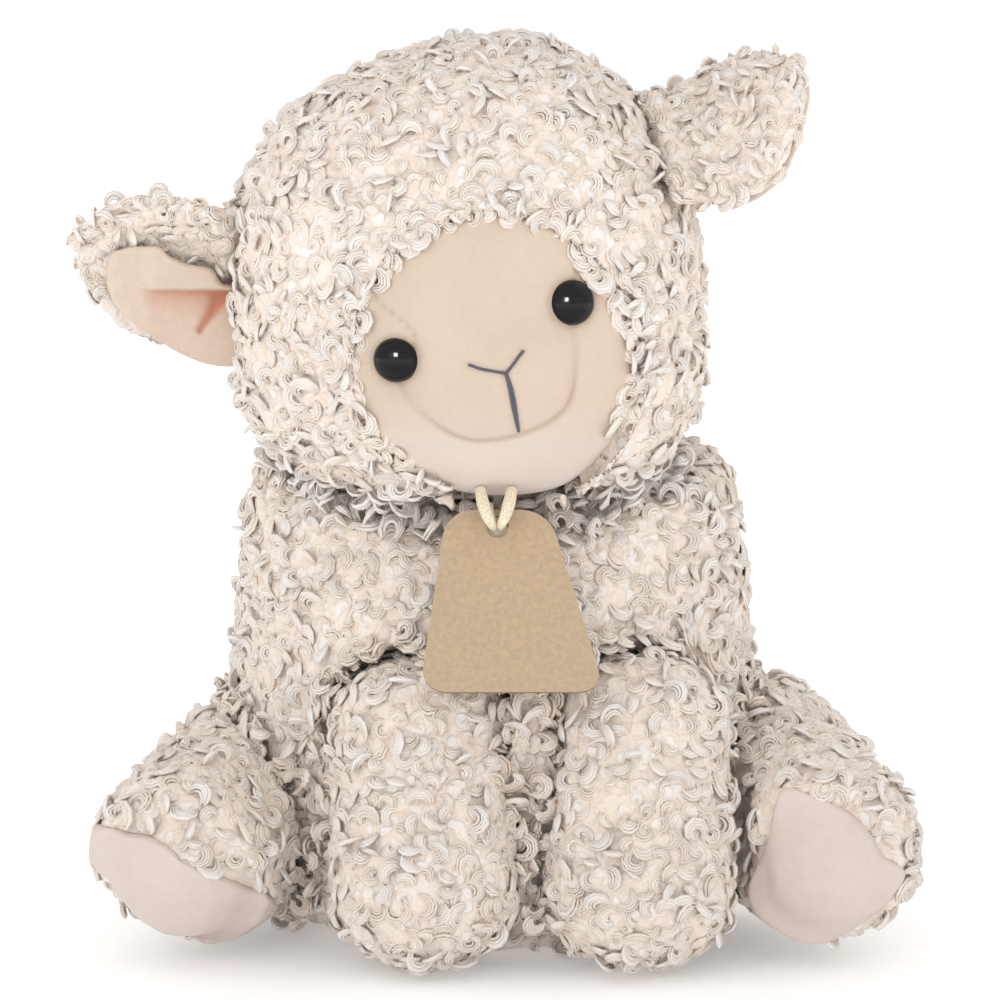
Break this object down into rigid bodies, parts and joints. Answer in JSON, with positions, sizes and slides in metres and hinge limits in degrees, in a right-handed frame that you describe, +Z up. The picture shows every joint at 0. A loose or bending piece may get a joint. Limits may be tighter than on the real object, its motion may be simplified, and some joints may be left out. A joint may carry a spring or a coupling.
{
  "type": "plush sheep",
  "caption": "Seated plush sheep with curly cream fleece, a peach velour face with stitched nose and mouth, domed eyes, turning head, hinged legs, ears and tail, and a bare card tag.",
  "frame": {"origin": "centre of the bounding box's base, where the seated toy rests on the table", "axes": "+Z up; the sheep faces -Y; +X is the sheep's own left"},
  "size_m": [0.2334, 0.1695, 0.2514],
  "materials": {
    "curly_fleece": "curly sherpa fleece, matte",
    "velour": "short-pile velour, matte",
    "stuffing": "loose polyester fibre",
    "eye_plastic": "polished",
    "washer_plastic": "natural",
    "thread": "twisted embroidery thread",
    "kraft_card": "uncoated kraft card",
    "cotton_cord": "waxed cotton cord"
  },
  "bodies": {
    "body": {"body_cover_front": "curly_fleece", "body_cover_back": "curly_fleece", "seat_panel": "velour", "body_stuffing": "stuffing", "neck_cord": "cotton_cord", "tag_cord": "cotton_cord"},
    "neck_band": {"neck_cover": "curly_fleece"},
    "neck_core": {"neck_stuffing": "stuffing"},
    "head": {"head_cover_left": "curly_fleece", "head_cover_right": "curly_fleece", "face_panel": "velour", "cheek_panel": "velour", "head_stuffing": "stuffing", "eye_left": "eye_plastic", "eye_right": "eye_plastic", "eye_washer_left": "washer_plastic", "eye_washer_right": "washer_plastic", "nose_stitch": "thread", "mouth_stitch": "thread"},
    "ear_left": {"ear_cover_left": "curly_fleece", "ear_lining_left": "velour"},
    "front_leg_left": {"front_leg_cover_left": "curly_fleece", "front_leg_stuffing_left": "stuffing"},
    "hind_leg_left": {"hind_leg_cover_left": "curly_fleece", "hind_leg_stuffing_left": "stuffing", "hind_foot_sole_left": "velour"},
    "ear_right": {"ear_cover_right": "curly_fleece", "ear_lining_right": "velour"},
    "front_leg_right": {"front_leg_cover_right": "curly_fleece", "front_leg_stuffing_right": "stuffing"},
    "hind_leg_right": {"hind_leg_cover_right": "curly_fleece", "hind_leg_stuffing_right": "stuffing", "hind_foot_sole_right": "velour"},
    "tail": {"tail_cover": "curly_fleece", "tail_stuffing": "stuffing"},
    "tag": {"tag_card": "kraft_card"}
  },
  "joints": [
    {"name": "head_turn", "type": "hinge", "parent": "body", "child": "neck_band", "pos_m": [-0.005, 0, 0.141], "axis": [0, 0, 1], "range_deg": [-10, 10], "stiffness_Nm_per_rad": 0.4},
    {"name": "head_nod", "type": "hinge", "parent": "neck_band", "child": "neck_core", "pos_m": [-0.005, 0, 0.141], "axis": [-1, 0, 0], "range_deg": [-2, 8], "stiffness_Nm_per_rad": 0.5},
    {"name": "head_tilt", "type": "hinge", "parent": "neck_core", "child": "head", "pos_m": [-0.005, 0, 0.141], "axis": [0, 1, 0], "range_deg": [-4, 4], "stiffness_Nm_per_rad": 0.5},
    {"name": "ear_left_flap", "type": "hinge", "parent": "head", "child": "ear_left", "pos_m": [0.04588, -0.03125, 0.22052], "axis": [0.1999, -0.6984, -0.6873], "range_deg": [-8, 8], "stiffness_Nm_per_rad": 0.02},
    {"name": "ear_right_flap", "type": "hinge", "parent": "head", "child": "ear_right", "pos_m": [-0.07543, -0.02042, 0.18655], "axis": [-0.1395, 0.491, -0.8599], "range_deg": [-8, 8], "stiffness_Nm_per_rad": 0.02},
    {"name": "front_leg_left_swing", "type": "hinge", "parent": "body", "child": "front_leg_left", "pos_m": [0.03725, -0.046, 0.066], "axis": [-1, 0, 0], "range_deg": [0, 28]},
    {"name": "front_leg_right_swing", "type": "hinge", "parent": "body", "child": "front_leg_right", "pos_m": [-0.02025, -0.046, 0.066], "axis": [-1, 0, 0], "range_deg": [0, 28]},
    {"name": "hind_leg_left_raise", "type": "hinge", "parent": "body", "child": "hind_leg_left", "pos_m": [0.07956, -0.0203, 0.05862], "axis": [-0.9549, -0.2971, 0], "range_deg": [0, 8]},
    {"name": "hind_leg_right_raise", "type": "hinge", "parent": "body", "child": "hind_leg_right", "pos_m": [-0.07455, -0.0203, 0.05607], "axis": [-0.9433, 0.3319, 0], "range_deg": [0, 8]},
    {"name": "tail_wag", "type": "hinge", "parent": "body", "child": "tail", "pos_m": [-0.002, 0.0625, 0.034], "axis": [0, 0, 1], "range_deg": [-25, 25], "stiffness_Nm_per_rad": 0.01},
    {"name": "tag_swing", "type": "hinge", "parent": "body", "child": "tag", "pos_m": [-0.0006, -0.058, 0.1203], "axis": [-1, 0, 0], "range_deg": [0, 20]}
  ]
}
